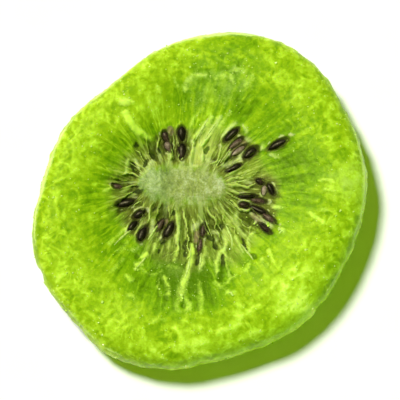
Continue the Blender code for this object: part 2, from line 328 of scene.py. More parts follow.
# Fibres. The long ones are told as their half thickness, how pale they are, and the points they pass.
RAY_FIBRES = 20
SHORTEST_RAY_FIBRE = 0.15
FIBRE_STEPS = 40
FIBRE_SIDES = 7
FIBRE_SMOOTHING = 7
FIBRE_WANDER = 0.0018
FIBRE_SUNK_SHARE = 0.35
FIBRE_WAVER = 0.05
FIBRE_THINNEST = 0.02
LONG_FIBRES = (
    (0.16, 0.7, (1.1, 10.6), (0.3, 9.2), (-0.7, 7.6)),
    (0.14, 0.6, (2.2, 10.1), (1.3, 8.8), (0.2, 7.2)),
    (0.14, 0.6, (0.2, -6.9), (0.1, -8.1), (-0.1, -9.4)),
    (0.16, 0.5, (-5.2, -3), (-5.9, -4.2), (-6.7, -5.4)),
    (0.15, 0.5, (-8.6, -3.9), (-9.9, -5), (-11, -6.2)),
    (0.15, 0.8, (-6.9, -7.6), (-7.5, -8.4), (-8.2, -9.2)),
    (0.15, 0.7, (3.2, -3.3), (3.9, -4.9), (4.1, -6.6)),
    (0.15, 0.6, (5.1, -5.9), (6, -7), (6.8, -8.2)),
    (0.15, 0.8, (-1.2, -6.3), (-1.4, -8.6), (-2, -10.6)),
)

# Sugar grains, and a few larger clumps on the shown face, told as their places
CLUMPS = ((8.7, -3.5), (10.2, -4.3), (3.9, -12.5), (-8.2, -9.2), (-2.5, -13.0))
CLUMP_GRAINS = 6
CLUMP_REACH = 0.14
CLUMP_GRAIN_SIZE = 0.12
GRAINS = 1000
GRAIN_SIZE = 0.045
GRAIN_SPREAD = 0.35
LOWEST_GRAIN = 0.4
BOX_CORNERS = np.array(list(itertools.product((-1, 1), repeat=3)), float)
BOX_SIDES = ((0, 1, 3, 2), (4, 6, 7, 5), (0, 4, 5, 1), (2, 3, 7, 6), (0, 2, 6, 4), (1, 5, 7, 3))

# Well above the shown face and below the underside
WELL_CLEAR = 50

# How far the floor reaches, in metres
FLOOR_REACH = 1.5

# Light: a soft key from the upper left, a dim surround, and a narrow green glow on the slice's shaded side.
# The glow stands for the light that passes through the flesh, and tints the shadow that the key leaves.
KEY_PLACE = (-0.22, 0.21, 0.48)
KEY_ENERGY = 4.2
KEY_TINT = (1.0, 0.985, 0.96)
KEY_ANGLE = math.radians(14)
SURROUND_LIGHT = (0.036, 0.041, 0.005)
GLOW_PLACE = (0.30, -0.28, 0.33)
GLOW_ENERGY = 3.2
GLOW_TINT = (0.50, 1.0, 0.02)
GLOW_CONE = math.radians(24)
GLOW_SIZE = 0.05

# View
CAMERA_ELEVATION = math.radians(80)
CAMERA_DISTANCE = 0.48
SHARE_OF_FRAME = 0.84
SENSOR_WIDTH = 36.0
NEAREST_SEEN = 0.01


def smooth_step(low, high, value):
    """0 below low, 1 above high, and an S-shaped way between them."""
    share = np.clip((value - low) / (high - low), 0, 1)
    return share * share * (3 - 2 * share)


def fall(low, high, value):
    """1 below low, 0 above high, and an S-shaped way between them."""
    return 1 - smooth_step(low, high, value)


def bump(centre, width, value):
    """1 where value is at centre, falling off to 0 on both sides."""
    return np.exp(-(((value - centre) / width) ** 2))


def shuffled(cell, order):
    """A number below NOISE_DRAWS for each cell of a grid, without visible order."""
    pick = order[cell[:, 0] % NOISE_DRAWS]
    pick = order[(pick + cell[:, 1]) % NOISE_DRAWS]
    return order[(pick + cell[:, 2]) % NOISE_DRAWS]


def noise(points, size, seed):
    """Smooth noise, about -1 to 1 at each point, whose bumps are about size apart."""
    draw = np.random.default_rng(seed)
    order = draw.permutation(NOISE_DRAWS)
    slopes = draw.normal(size=(NOISE_DRAWS, 3))
    slopes /= np.linalg.norm(slopes, axis=1, keepdims=True)
    place = points / size
    cell = np.floor(place).astype(int)
    within = place - cell
    fade = within**3 * (within * (within * 6 - 15) + 10)
    total = np.zeros(len(points))
    for corner in itertools.product((0, 1), repeat=3):
        rise = ((within - corner) * slopes[shuffled(cell + corner, order)]).sum(axis=1)
        weight = np.where(corner, fade, 1 - fade).prod(axis=1)
        total += weight * rise
    return total * NOISE_STRETCH


def pebbles(points, size, seed):
    """Lumps packed side by side, about size apart: each point's share of the way from its lump's seam to its
    heart, its distance from the heart as a share of size, and its lump's own draw."""
    draw = np.random.default_rng(seed)
    order = draw.permutation(NOISE_DRAWS)
    heart = draw.random((NOISE_DRAWS, 3))
    own = draw.random(NOISE_DRAWS)
    place = points / size
    cell = np.floor(place).astype(int)
    nearest = np.full(len(points), FAR)
    second = nearest.copy()
    drawn = np.zeros(len(points))
    for corner in itertools.product((-1, 0, 1), repeat=3):
        pick = shuffled(cell + corner, order)
        away = np.linalg.norm(cell + corner + heart[pick] - place, axis=1)
        second = np.minimum(second, np.maximum(nearest, away))
        drawn = np.where(away < nearest, own[pick], drawn)
        nearest = np.minimum(nearest, away)
    return smooth_step(0, 0.55, second - nearest), nearest, drawn


def flecks(points, size, seed):
    """Irregular pale flecks, 1 in their middles, and darker ones, -1 in theirs, about size apart."""
    swirl = [noise(points, 1.1 * size, seed + step) for step in range(1, 4)]
    _, away, own = pebbles(points + 0.55 * size * np.column_stack(swirl), size, seed)
    body = fall(0.18, 0.62, away)
    return body * smooth_step(0.45, 0.8, own) - body * fall(0.1, 0.3, own)


def spots(points, placed):
    """The sum of soft spots, each told as its place, radius and height."""
    total = np.zeros(len(points))
    for x, y, radius, height in placed:
        away = np.hypot(points[:, 0] - x, points[:, 1] - y)
        total += height * bump(0, radius, away)
    return total


def turned(x, y, angle):
    """How far a plan place lies along this direction, and how far across it."""
    return x * math.cos(angle) + y * math.sin(angle), y * math.cos(angle) - x * math.sin(angle)


def round_core(points):
    """How far out from the core's line each point lies, and its way round, in radians."""
    along, across = turned(points[:, 0] - CORE_MIDDLE[0], points[:, 1] - CORE_MIDDLE[1], CORE_TURN)
    place = np.arccosh((along + 1j * across) / CORE_FOCUS)
    return place.real, place.imag


def plan_place(out, way):
    """The plan place that lies this far out, this way round."""
    along = CORE_FOCUS * np.cosh(out) * np.cos(way)
    across = CORE_FOCUS * np.sinh(out) * np.sin(way)
    x, y = turned(along, across, -CORE_TURN)
    return CORE_MIDDLE[0] + x, CORE_MIDDLE[1] + y


def edge_shares(points):
    """Each point's share of the way from the core's middle to the slice's edge, in plan."""
    offset = points[:, :2] - CORE_MIDDLE
    angle = np.arctan2(offset[:, 1], offset[:, 0])
    distance = np.hypot(offset[:, 0], offset[:, 1])
    slots = np.round(angle / (2 * math.pi) * EDGE_SLOTS).astype(int) % EDGE_SLOTS
    edge = np.zeros(EDGE_SLOTS)
    np.maximum.at(edge, slots, distance)
    directions = np.arange(EDGE_SLOTS) / EDGE_SLOTS * 2 * math.pi
    return distance / np.interp(angle, directions, edge, period=2 * math.pi)


def pocket_end(way):
    """How far out the pockets reach, this way round."""
    return POCKET_END + POCKET_END_SWING * np.cos(way - POCKET_END_WAY)


def ray_grid(out, way, around, outwards):
    """Places for noise that is drawn out along the fruit's rays."""
    return np.column_stack([np.cos(way) * around, np.sin(way) * around, out * outwards])


class Places:
    """Where each point of the flesh lies: how far out from the core and which way round, and how much it
    belongs to the shown face, to the underside, to either face, to the edge and to the rim, 0 to 1."""

    def __init__(self, points, normals):
        self.points = points
        self.up = normals[:, 2]
        self.out, self.way = round_core(points)
        self.top = smooth_step(*FACE_TILT, self.up)
        self.under = smooth_step(*FACE_TILT, -self.up)
        self.face = self.top + self.under
        self.edge = 1 - self.top - self.under
        self.rim = smooth_step(*RIM_SHARES, edge_shares(points))

    def noise(self, size, seed):
        return noise(self.points, size, seed)

    def spots(self, placed):
        return spots(self.points, placed)

    def ray_grid(self, around, outwards):
        return ray_grid(self.out, self.way, around, outwards)

    def ray_noise(self, around, outwards, seed):
        """Noise that is drawn out along the fruit's rays."""
        return noise(self.ray_grid(around, outwards), 1.0, seed)


def strokes_at(at):
    """Short strokes on the flesh, up to about 0.7 in pale ones and down to -0.3 between them. They lie this
    way and that, and along the rim where RIM_STROKES says so."""
    swirl = np.column_stack([at.noise(STROKE_LENGTH, seed) for seed in (101, 102, 103)])
    bent = at.points + STROKE_BEND * swirl
    total, weights = np.zeros(len(bent)), np.full(len(bent), 0.02)
    for number in range(STROKE_WAYS):
        along, across = turned(bent[:, 0], bent[:, 1], math.pi * (number + 0.5) / STROKE_WAYS)
        laid = np.column_stack([along / STROKE_LENGTH, across / STROKE_WIDTH, bent[:, 2] / STROKE_LENGTH])
        weight = smooth_step(-0.1, 0.3, at.noise(2 * STROKE_LENGTH, 111 + number))
        total += weight * noise(laid, 1.0, 121 + number)
        weights += weight
    weight = RIM_STROKE_WEIGHT * np.clip(at.spots(RIM_STROKES), 0, 1)
    total += weight * noise(at.ray_grid(*RIM_STROKE_GRID) + 0.2 * swirl, 1.0, 131)
    return smooth_step(-0.25, 0.45, total / (weights + weight)) - 0.3


def seed_zone(at, seed):
    """How deep each point lies in a pocket, how much on a wall, and how much in the zone, 0 to 1."""
    draw = np.random.default_rng(seed)

    def sway(size, number):
        return at.noise(size, seed + number)

    bend = 1.1 * sway(6.0, 1) + 0.45 * sway(1.8, 2) + 0.15 * sway(0.7, 3)
    turns = (at.way / (2 * math.pi) + 0.5) * POCKETS + bend
    pocket = np.floor(turns).astype(int) % POCKETS
    from_wall = 0.5 - np.abs(turns - np.floor(turns) - 0.5)
    wall_number = np.round(turns).astype(int) % POCKETS
    spacing = CORE_FOCUS * np.sqrt(np.sinh(at.out) ** 2 + np.sin(at.way) ** 2) * 2 * math.pi / POCKETS
    strength = draw.uniform(0.15, 1.0, POCKETS)[wall_number] * (1 + 0.7 * sway(1.6, 4))
    wall_width = WALL_WIDTH * np.clip(strength, 0.3, 1.6)
    wall = fall(0.4, 1.3, from_wall * spacing / (wall_width / 2))
    wall *= np.clip(0.25 + strength, 0, 1)
    start = POCKET_START + draw.uniform(-0.08, 0.16, POCKETS)[pocket] + 0.10 * sway(1.2, 5)
    end = pocket_end(at.way) + draw.uniform(-0.32, 0.10, POCKETS)[pocket] + 0.10 * sway(1.5, 6)
    in_zone = smooth_step(start - 0.12, start + 0.12, at.out) * fall(end - 0.30, end + 0.06, at.out)
    depth = draw.uniform(0.30, 1.0, POCKETS)[pocket] * (1 + 0.35 * sway(1.1, 7))
    return in_zone * (1 - wall) * np.clip(depth, 0, 1.2), in_zone * wall, in_zone


def seed_outlines(points, seeds):
    """For each point, its distance from the nearest seed's middle, told so that the seed's outline is at 1,
    and how crowded the seeds are there."""
    nearest = np.full(len(points), FAR)
    crowd = np.zeros(len(points))
    for x, y, length, width, turn, *_ in seeds:
        dx, dy = points[:, 0] - x, points[:, 1] - y
        along, across = turned(dx, dy, math.radians(turn))
        nearest = np.minimum(nearest, np.hypot(along / (length / 2), across / (width / 2)))
        crowd += bump(0, SEED_CROWD_REACH, np.hypot(dx, dy))
    return nearest, crowd


def smooth_path(places):
    """A smooth plan path through a few places."""
    places = np.array(places, float)
    knots = np.linspace(0, 1, len(places))
    along = np.linspace(0, 1, FIBRE_STEPS)
    fits = [np.polyfit(knots, places[:, axis], len(places) - 1) for axis in (0, 1)]
    return np.column_stack([np.polyval(fit, along) for fit in fits])


def ragged_plan(points):
    """The points' plan places, moved about a little, so that what is laid out by them gets uneven edges."""
    ragged = [noise(points, 1.2, seed) + 0.7 * noise(points, 0.5, seed + 1) for seed in (91, 93)]
    return points[:, :2] + STRAND_RAGGEDNESS * np.column_stack(ragged)


def strands_at(plan):
    """How much each plan place lies on a pale strand, 0 to 1, and how much cream there is in it."""
    amount, cream = np.zeros(len(plan)), np.zeros(len(plan))
    for first_width, last_width, strength, creamy, *places in STRANDS:
        path = smooth_path(places)
        inside = (plan > path.min(axis=0) - STRAND_REACH) & (plan < path.max(axis=0) + STRAND_REACH)
        near = np.flatnonzero(inside.all(axis=1))
        away = np.full(len(near), STRAND_REACH)
        along = np.zeros(len(near))
        for step, (start, end) in enumerate(zip(path[:-1], path[1:])):
            span = end - start
            share = np.clip((plan[near] - start) @ span / (span @ span), 0, 1)
            distance = np.linalg.norm(plan[near] - start - share[:, None] * span, axis=1)
            along = np.where(distance < away, (step + share) / (len(path) - 1), along)
            away = np.minimum(away, distance)
        width = first_width + (last_width - first_width) * along
        found = strength * bump(0, 0.85, away / width)
        cream[near] = np.where(found > amount[near], creamy, cream[near])
        amount[near] = np.maximum(found, amount[near])
    return amount, cream


def side_lip_and_rim_light(at):
    """How much each point belongs to the raised edge where a face turns down into the side, 0 to 1."""
    # The raised edge is painted pale, as a painted rim highlight.
    tilt = np.abs(at.up) + LIP_TILT_DRIFT * at.noise(2.8, 60)
    stretch = at.spots(LIP_AND_RIM_LIGHT_STRETCHES) * (at.up > 0)
    lip_and_rim_light = bump(LIP_TILT, LIP_TILT_WIDTH * np.clip(1 + stretch, 0.5, 2), tilt)
    broken = smooth_step(-0.6, 0.7, at.noise(2.4, 51) + 0.5 * at.noise(0.9, 54))
    return np.clip(lip_and_rim_light * (FAINT_LIP * broken + stretch), 0, 1)


def zone_fields(at):
    """The pockets and walls of both faces' seed zones, those of the underside shallower."""
    shown_pocket, shown_wall, shown_zone = seed_zone(at, 11)
    under_pocket, under_wall, under_zone = seed_zone(at, 21)
    return {
        "pocket": at.top * shown_pocket + UNDERSIDE_SHARE * at.under * under_pocket,
        "wall": at.top * shown_wall + UNDERSIDE_SHARE * at.under * under_wall,
        "zone": at.top * shown_zone + at.under * under_zone,
    }


def core_fields(at):
    """The core, the spokes and the halo at its edge, and the murky flesh round it."""
    ragged = 0.10 * at.noise(1.9, 31) + 0.05 * at.noise(0.7, 32)
    ragged += 0.16 * at.ray_noise(8, 1.2, 33)
    spokes = at.ray_noise(7, 1.1, 34) + 0.5 * at.ray_noise(15, 1.6, 35)
    murk_end = pocket_end(at.way) + 0.10 + 0.12 * at.noise(2.2, 36)
    murk = at.face * smooth_step(CORE_OUT - 0.1, CORE_OUT + 0.2, at.out)
    return {
        "core": at.face * fall(CORE_OUT - 0.22, CORE_OUT + 0.26, at.out + ragged),
        "spokes": at.face * smooth_step(0.0, 0.7, spokes) * bump(CORE_OUT + 0.18, 0.30, at.out),
        "halo": at.face * bump(CORE_OUT + 0.22, 0.20, at.out + 0.6 * ragged),
        "murk": murk * fall(murk_end - 0.35, murk_end, at.out),
    }


def painted_seeds(at, seeds, seed):
    """How much each point lies on one of these seeds, which are colour and not pieces, 0 to 1."""
    away, _ = seed_outlines(at.points, seeds)
    return at.top * fall(*PAINTED_SEED_EDGE, away + 0.5 * at.noise(0.6, seed))


def seed_fields(at, underside_seeds):
    """What the seeds leave in the flesh round them, and the seeds that are only painted."""
    shown_away, shown_crowd = seed_outlines(at.points, SEEDS)
    under_away, under_crowd = seed_outlines(at.points, underside_seeds)
    away = np.where(at.up > 0, shown_away, under_away)
    crowd = np.where(at.up > 0, shown_crowd, under_crowd)
    return {
        "pit": at.face * fall(*SEED_PIT_EDGE, away),
        "collar": at.face * bump(*SEED_COLLAR_RING, away),
        "stain": at.face * fall(*SEED_STAIN_EDGE, away),
        # Pale ring round the seeds: partly pale flesh, partly a painted glint.
        "sleeve_and_glint": at.face * bump(*SEED_SLEEVE_AND_GLINT_RING, away) * smooth_step(0.0, 0.6, at.noise(0.9, 59)),
        "crowd": at.face * smooth_step(0.3, 1.9, crowd + 0.3 * at.noise(1.2, 37)),
        "deep": painted_seeds(at, DEEP_SEEDS, 38),
        "husk": painted_seeds(at, HUSKS, 39),
    }


def pale_fields(at):
    """The strands, mottles, clearings and frost of the shown face, and the side's raised edge with its
    painted rim highlight.
    """
    plan = ragged_plan(at.points)
    strand, cream = strands_at(plan)
    strand *= at.top * np.clip(0.85 + 0.45 * at.noise(0.8, 40), 0.2, 1.2)
    return {
        "strand": strand,
        "cream": cream,
        "mottle": MOTTLE_STRENGTH * at.top * spots(plan, MOTTLES),
        "clearing": at.top * np.clip(at.spots(CLEARINGS), 0, 1),
        "frost": at.top * at.spots(FROST) * np.clip(1 + 0.8 * at.noise(1.0, 67), 0, 2),
        "lip_and_rim_light": side_lip_and_rim_light(at),
    }


def grain_fields(at):
    """The grain of the flesh, lumpy on the rim and drawn out along the rays inside it, with its fine noise,
    the flutes of the side and the fuzz of the core."""
    rim = at.rim
    lumps, _, lump_draw = pebbles(at.points, 1.1, 41)
    long_lumps, _, long_draw = pebbles(at.ray_grid(17, 4.2), 1.0, 42)
    long_flecks = flecks(at.ray_grid(15, 5.0), 1.0, 65)
    rays = at.ray_noise(26, 2.2, 45) * 0.7 + at.ray_noise(11, 1.6, 46) * 0.3
    fine = at.noise(0.45, 47)
    grain = (
        0.08 * (lumps * rim + long_lumps * (1 - rim) - 0.5)
        + 0.10 * (lump_draw * rim + long_draw * (1 - rim) - 0.5)
        + 0.42 * strokes_at(at) * (0.4 + 0.6 * rim)
        + 0.10 * (flecks(at.points, 0.95, 61) * rim + 0.7 * long_flecks * (1 - rim))
        + 0.10 * fine
        + 0.06 * at.noise(2.2, 57)
        + 0.25 * rays * (1 - rim)
    )
    height = at.points[:, 2]
    flutes = noise(ray_grid(height * 0.02, at.way, 9, 1.0), 1.0, 49)
    flutes += 0.6 * noise(ray_grid(height * 0.05, at.way, 22, 1.0), 1.0, 50)
    fuzz = at.noise(0.6, 52) + at.ray_noise(9, 3.5, 53)
    return {"grain": grain, "fine": fine, "flutes": flutes, "fuzz": fuzz}


def relief_of(at, fields):
    """How far the flesh stands out from the solid's surface, in millimetres."""
    open_flesh = 1 - np.clip(fields["core"] + fields["zone"], 0, 1)
    shaping = {
        "swell": at.spots(SWELLS) * at.top,
        "wave": at.noise(5.5, 48),
        "grain": fields["grain"] * (0.35 + 0.65 * open_flesh),
        "flutes": fields["flutes"] * at.edge,
        "fuzz": fields["fuzz"] * fields["core"],
    }
    shaping = fields | shaping
    return sum(shaping[name] * rise for name, rise in RISES.items())


def tones_of(at, fields):
    """The tones of the flesh and of its core, and how warm the core's are."""
    tone = INNER_TONE + (RIM_TONE - INNER_TONE) * at.rim
    # Painted glow and painted shade from the tone spots, over the flesh's own tone, and the mottles' pale
    # and dark marks.
    tone += (1 - at.under) * at.spots(TONE_AND_PAINTED_LIGHT_SPOTS) + fields["mottle"]
    # The side is paler by its own tone and a painted glow, paler on the flutes' ridges and darker in their
    # grooves as painted light and shade.
    tone += (SIDE_TONE_AND_GLOW + 0.08 * fields["flutes"]) * at.edge + 0.04 * at.noise(3.5, 56)
    streaks = noise(at.points * (1.0, 0.35, 1.0), 0.55, 56)
    core_tone = CORE_TONE + at.spots(CORE_SPOTS) + 0.07 * fields["fuzz"] + 0.20 * streaks
    core_tone += 0.12 * at.noise(1.8, 55)
    warmth = smooth_step(CORE_COOL_END, CORE_WARM_START, at.points[:, 0] + 0.8 * at.noise(1.2, 58))
    return {"tone": tone, "core_tone": core_tone, "warmth": warmth}


def flesh_fields(points, normals, underside_seeds):
    """The flesh's relief in millimetres, and the fields that its material is painted by."""
    at = Places(points, normals)
    fields = zone_fields(at) | core_fields(at) | seed_fields(at, underside_seeds) | pale_fields(at)
    fields |= grain_fields(at)
    relief = relief_of(at, fields)
    fields |= tones_of(at, fields)
    for name in ("murk", "crowd", "pocket"):
        fields[name] *= 1 - CLEARING_FADE * fields["clearing"]
    fields |= {"streaky": 1 - at.rim, "ray_place": at.ray_grid(1.0, 1.0)}
    return relief, {name: values for name, values in fields.items() if name not in RELIEF_ONLY}


def vertex_array(mesh, field):
    """One of the mesh's vertex fields, a row for each vertex."""
    flat = np.empty(len(mesh.vertices) * 3, np.float32)
    mesh.vertices.foreach_get(field, flat)
    return flat.reshape(-1, 3).astype(float)


def set_values(mesh, name, values):
    """Keeps a number or a vector for each of the mesh's points, for its material to read."""
    values = np.asarray(values)
    kind, field = ("FLOAT", "value") if values.ndim == 1 else ("FLOAT_VECTOR", "vector")
    attribute = mesh.attributes.new(name, kind, "POINT")
    attribute.data.foreach_set(field, values.astype(np.float32).ravel())


def add_object(name, data):
    obj = bpy.data.objects.new(name, data)
    bpy.context.scene.collection.objects.link(obj)
    return obj


def baked(obj):
    """The object's mesh with its modifiers applied, and the object removed."""
    graph = bpy.context.evaluated_depsgraph_get()
    shown = obj.evaluated_get(graph)
    mesh = bpy.data.meshes.new_from_object(shown, preserve_all_data_layers=True, depsgraph=graph)
    bpy.data.objects.remove(obj)
    return mesh


def finer_mesh(node):
    """The node's mesh, welded, turned into four-sided faces where it can be, and subdivided."""
    shape = bmesh.new()
    shape.from_mesh(node.data)
    bmesh.ops.remove_doubles(shape, verts=shape.verts[:], dist=WELD_DISTANCE)
    bmesh.ops.join_triangles(
        shape,
        faces=shape.faces[:],
        angle_face_threshold=MOST_FACE_BEND,
        angle_shape_threshold=MOST_CORNER_BEND,
    )
    mesh = bpy.data.meshes.new("finer")
    shape.to_mesh(mesh)
    shape.free()
    mesh.materials.clear()
    obj = add_object("finer", mesh)
    subdivision = obj.modifiers.new("finer", "SUBSURF")
    subdivision.levels = FLESH_LEVELS
    subdivision.render_levels = FLESH_LEVELS
    return baked(obj)


def lighter_mesh(mesh, most_triangles):
    """The mesh with fewer triangles: they stay small where the surface bends most."""
    triangles = sum(len(face.vertices) - 2 for face in mesh.polygons)
    obj = add_object("lighter", mesh)
    decimate = obj.modifiers.new("lighter", "DECIMATE")
    decimate.ratio = min(1.0, most_triangles / triangles)
    return baked(obj)


def make_flesh(underside_seeds):
    mesh = finer_mesh(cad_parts[NODE])
    points = vertex_array(mesh, "co") / MM
    normals = vertex_array(mesh, "normal")
    relief, painted = flesh_fields(points, normals, underside_seeds)
    points += normals * relief[:, None]
    points[:, 2] = np.maximum(points[:, 2], 0)
    mesh.vertices.foreach_set("co", (points * MM).astype(np.float32).ravel())
    for name, values in painted.items():
        set_values(mesh, name, values)
    mesh.update()
    mesh = lighter_mesh(mesh, MOST_TRIANGLES)
    mesh.name = "kiwi_flesh"
    mesh.shade_smooth()
    return add_object("kiwi_flesh", mesh)


def ring_points(sides):
    """The cosine and sine of each direction round a ring."""
    angles = [2 * math.pi * side / sides for side in range(sides)]
    return [(math.cos(angle), math.sin(angle)) for angle in angles]


def ring_faces(rings, sides, start=0):
    """The faces between rings of points that follow each other."""
    faces = []
    for low in range(start, start + (rings - 1) * sides, sides):
        for side in range(sides):
            after = (side + 1) % sides
            faces.append((low + side, low + after, low + sides + after, low + sides + side))
    return faces


class Surface:
    """The finished flesh, to lay small things on. Its shown face has the sign 1 and its underside -1."""

    def __init__(self, obj):
        shape = bmesh.new()
        shape.from_mesh(obj.data)
        bmesh.ops.triangulate(shape, faces=shape.faces[:])
        self.tree = BVHTree.FromBMesh(shape)
        shape.free()

    def at(self, x, y, sign=1):
        """The point and outward direction of the face at this plan place, or None past the edge."""
        start = Vector((x * MM, y * MM, sign * WELL_CLEAR * MM))
        point, normal, _, _ = self.tree.ray_cast(start, Vector((0, 0, -sign)))
        return (point / MM, normal) if point else None

    def height(self, x, y, reach, sign):
        """The mean height of the face round this plan place."""
        ring = [(x, y)] + [(x + reach * cosine, y + reach * sine) for cosine, sine in ring_points(8)]
        found = [self.at(*place, sign) for place in ring]
        return float(np.mean([point.z for point, _ in filter(None, found)]))


class Joined:
    """Small shapes that are gathered into one piece, with one number for the points of each."""

    def __init__(self):
        self.points, self.faces, self.values = [], [], []

    def add(self, points, faces, value=0.0):
        start = len(self.points)
        self.points += list(points)
        self.faces += [tuple(start + corner for corner in face) for face in faces]
        self.values += [value] * len(points)

    def mesh(self, name):
        """The shapes as one mesh, with nothing under the surface that the slice lies on."""
        mesh = bpy.data.meshes.new(name)
        points = np.array(self.points) * MM
        points[:, 2] = np.maximum(points[:, 2], 0)
        mesh.from_pydata(points.tolist(), [], self.faces)
        mesh.update()
        return mesh

    def smooth_piece(self, name, value_name):
        """The shapes as one smooth piece, whose material can read each shape's number by this name."""
        mesh = self.mesh(name)
        set_values(mesh, value_name, self.values)
        mesh.shade_smooth()
        return add_object(name, mesh)


def seed_shape(length, width, thickness):
    """A pip's points and faces: rounded at its outer end, drawn to a blunt tip at its inner end."""
    points = [(-length / 2, 0, 0)]
    for row in range(1, SEED_ROWS):
        x = -math.cos(row / SEED_ROWS * math.pi)
        girth = math.sqrt(1 - x * x) * (0.86 + 0.16 * x)
        for cosine, sine in ring_points(SEED_SIDES):
            points.append((x * length / 2, girth * width / 2 * cosine, girth * thickness / 2 * sine))
    points.append((length / 2, 0, 0))
    last = len(points) - 1
    low = last - SEED_SIDES
    faces = [(0, 1 + (side + 1) % SEED_SIDES, 1 + side) for side in range(SEED_SIDES)]
    faces += ring_faces(SEED_ROWS - 1, SEED_SIDES, 1)
    faces += [(last, low + side, low + (side + 1) % SEED_SIDES) for side in range(SEED_SIDES)]
    return np.array(points), faces


def lay_frame(place, turn, sign):
    """A matrix that lays a thing at this place, with its X along this plan direction and its Z outwards."""
    x = Vector((math.cos(turn), math.sin(turn), 0))
    z = Vector((0, 0, sign))
    matrix = Matrix((x, z.cross(x), z)).transposed().to_4x4()
    matrix.translation = place
    return matrix


def underside_seed_places():
    """Seeds for the underside, strewn round the core as on the shown face."""
    draw = np.random.default_rng(71)
    places = []
    for number in range(UNDERSIDE_SEEDS):
        way = 2 * math.pi * (number + draw.uniform(0.2, 0.8)) / UNDERSIDE_SEEDS
        out = draw.uniform(POCKET_START + 0.15, POCKET_END - 0.15)
        x, y = plan_place(out, way)
        turn = math.degrees(way) + draw.uniform(-12, 12)
        skin = float(np.clip(draw.normal(0.25, 0.3), 0, 1))
        length = draw.uniform(*UNDERSIDE_SEED_LENGTHS)
        places.append((x, y, length, draw.uniform(*UNDERSIDE_SEED_WIDTHS), turn, skin))
    return places


def make_seeds(surface, underside_seeds):
    draw = np.random.default_rng(61)
    seeds = Joined()
    laid = [(seed, 1) for seed in SEEDS] + [(seed, -1) for seed in underside_seeds]
    for (x, y, length, width, turn, skin), sign in laid:
        thickness = min(SEED_THICKNESS, 0.85 * width)
        level = surface.height(x, y, 0.75 * width, sign)
        raised = thickness * (0.5 - SEED_SUNK_SHARE - draw.uniform(-0.05, 0.08))
        matrix = lay_frame((x, y, level + sign * raised), math.radians(turn), sign)
        tilt = Matrix.Rotation(draw.uniform(-0.2, 0.2), 4, "X")
        tilt = tilt @ Matrix.Rotation(draw.uniform(-0.12, 0.16), 4, "Y")
        shape, faces = seed_shape(length, width, thickness)
        worn_at = shape + 10 * len(seeds.points)
        wear = 0.15 * noise(worn_at, 0.9, 62) + 0.05 * noise(worn_at, 0.35, 63)
        shape *= 1 + wear[:, None]
        seeds.add([tuple(matrix @ (tilt @ Vector(point))) for point in shape], faces, skin)
    return seeds.smooth_piece("kiwi_seeds", "skin")


def tube(path, radii):
    """The points and faces of a closed tube of these radii round a path."""
    points = []
    for number, (centre, radius) in enumerate(zip(path, radii)):
        ahead = path[min(number + 1, len(path) - 1)] - path[max(number - 1, 0)]
        ahead.normalize()
        across = ahead.cross(Vector((0, 0, 1))).normalized()
        up = across.cross(ahead)
        for cosine, sine in ring_points(FIBRE_SIDES):
            points.append(tuple(centre + (across * cosine + up * sine) * float(radius)))
    faces = ring_faces(len(path), FIBRE_SIDES)
    faces.append(tuple(range(FIBRE_SIDES))[::-1])
    faces.append(tuple(range(len(points) - FIBRE_SIDES, len(points))))
    return points, faces


def running_mean(values):
    return np.convolve(values, np.ones(FIBRE_SMOOTHING) / FIBRE_SMOOTHING, mode="valid")


def ray_fibres(draw):
    """Thin fibres that dried on the walls between the pockets: their plan paths, thickness and paleness."""
    fibres = []
    for _ in range(RAY_FIBRES):
        way = draw.uniform(-math.pi, math.pi)
        start = CORE_OUT + draw.uniform(-0.02, 0.55)
        end = min(start + draw.uniform(0.2, 0.6), pocket_end(way) + draw.uniform(-0.1, 0.25))
        if end - start < SHORTEST_RAY_FIBRE:
            continue
        steps = np.linspace(0, 1, FIBRE_STEPS)
        outs = start + (end - start) * steps
        ways = way + draw.uniform(-0.05, 0.05) * np.sin(steps * draw.uniform(1.5, 4))
        ways += FIBRE_WANDER * draw.normal(size=FIBRE_STEPS).cumsum()
        path = np.column_stack(plan_place(outs, ways))
        fibres.append((path, draw.uniform(0.06, 0.13), draw.uniform(0.0, 0.5)))
    return fibres


def make_fibres(surface):
    draw = np.random.default_rng(81)
    fibres = Joined()
    placed = [(smooth_path(places), thickness, pale) for thickness, pale, *places in LONG_FIBRES]
    laid = [(*fibre, 1) for fibre in ray_fibres(draw) + placed]
    laid += [(*fibre, -1) for fibre in ray_fibres(draw)]
    swelling = 0.10 + 0.90 * np.sin(np.linspace(0, 1, FIBRE_STEPS) * math.pi) ** 0.45
    for plan, thickness, pale, sign in laid:
        met = [surface.at(x, y, sign) for x, y in plan]
        if not all(met):
            continue
        heights = np.array([point.z for point, _ in met])
        heights = running_mean(np.pad(heights, FIBRE_SMOOTHING // 2, mode="edge"))
        waver = FIBRE_WAVER * noise(np.column_stack([plan, heights]), 0.9, 82)
        plan = plan + waver[:, None]
        path = [Vector((x, y, z - sign * thickness * FIBRE_SUNK_SHARE)) for (x, y), z in zip(plan, heights)]
        unevenness = running_mean(draw.normal(size=FIBRE_STEPS + FIBRE_SMOOTHING - 1))
        radii = thickness * swelling * (1 + 0.35 * unevenness)
        fibres.add(*tube(path, np.maximum(radii, FIBRE_THINNEST)), pale)
    return fibres.smooth_piece("kiwi_fibres", "pale")


